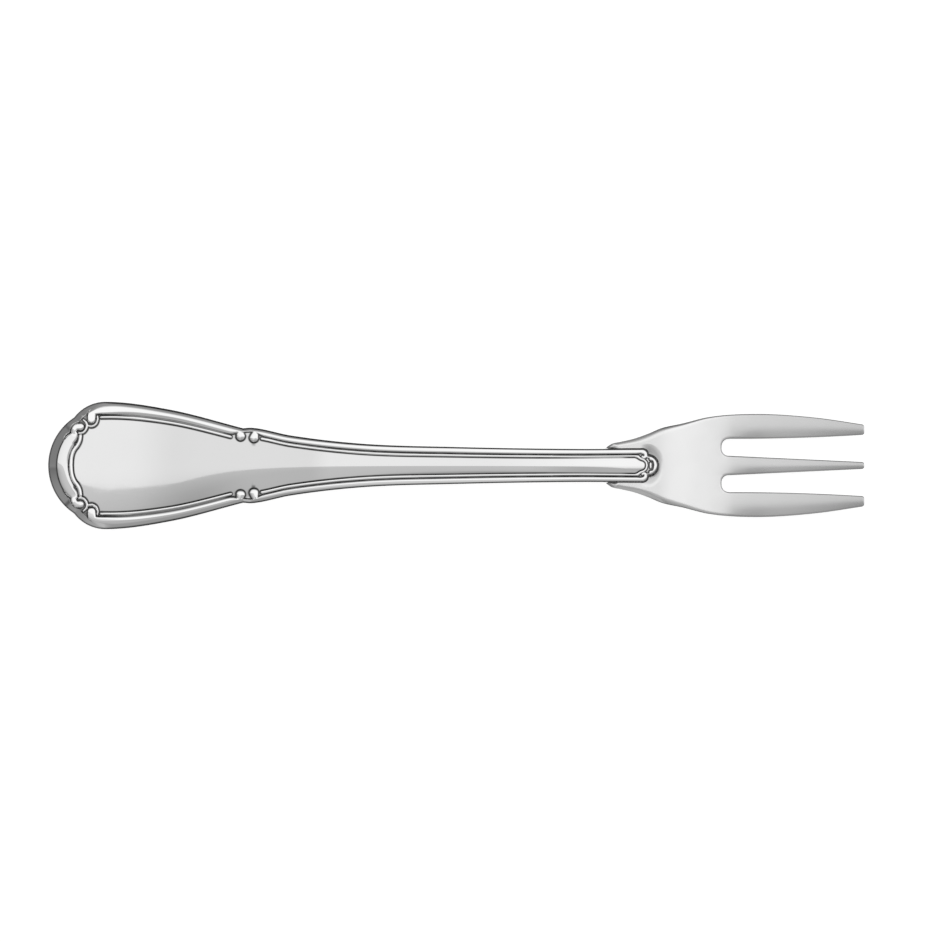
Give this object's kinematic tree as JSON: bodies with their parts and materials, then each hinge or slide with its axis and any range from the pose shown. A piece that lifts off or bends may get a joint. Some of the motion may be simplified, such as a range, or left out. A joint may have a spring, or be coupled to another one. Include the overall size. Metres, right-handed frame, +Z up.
{
  "type": "oyster fork",
  "caption": "Small seafood fork: broad handle with a struck thread-and-scroll border, slim stem lapped and soldered onto a flared head with long tapering tines.",
  "frame": {"origin": "bottom centre of the fork's bounding box as it lies on its back", "axes": "+X along the fork towards the tines, +Y across it, +Z up through the decorated front"},
  "size_m": [0.148, 0.023, 0.0081],
  "materials": {
    "handle_silver": "polished silver, dark in the grooves",
    "head_silver": "polished silver",
    "solder": "dull silver solder"
  },
  "bodies": {
    "root": {"handle": "handle_silver", "fork_head": "head_silver", "solder_seam": "solder"}
  },
  "joints": []
}
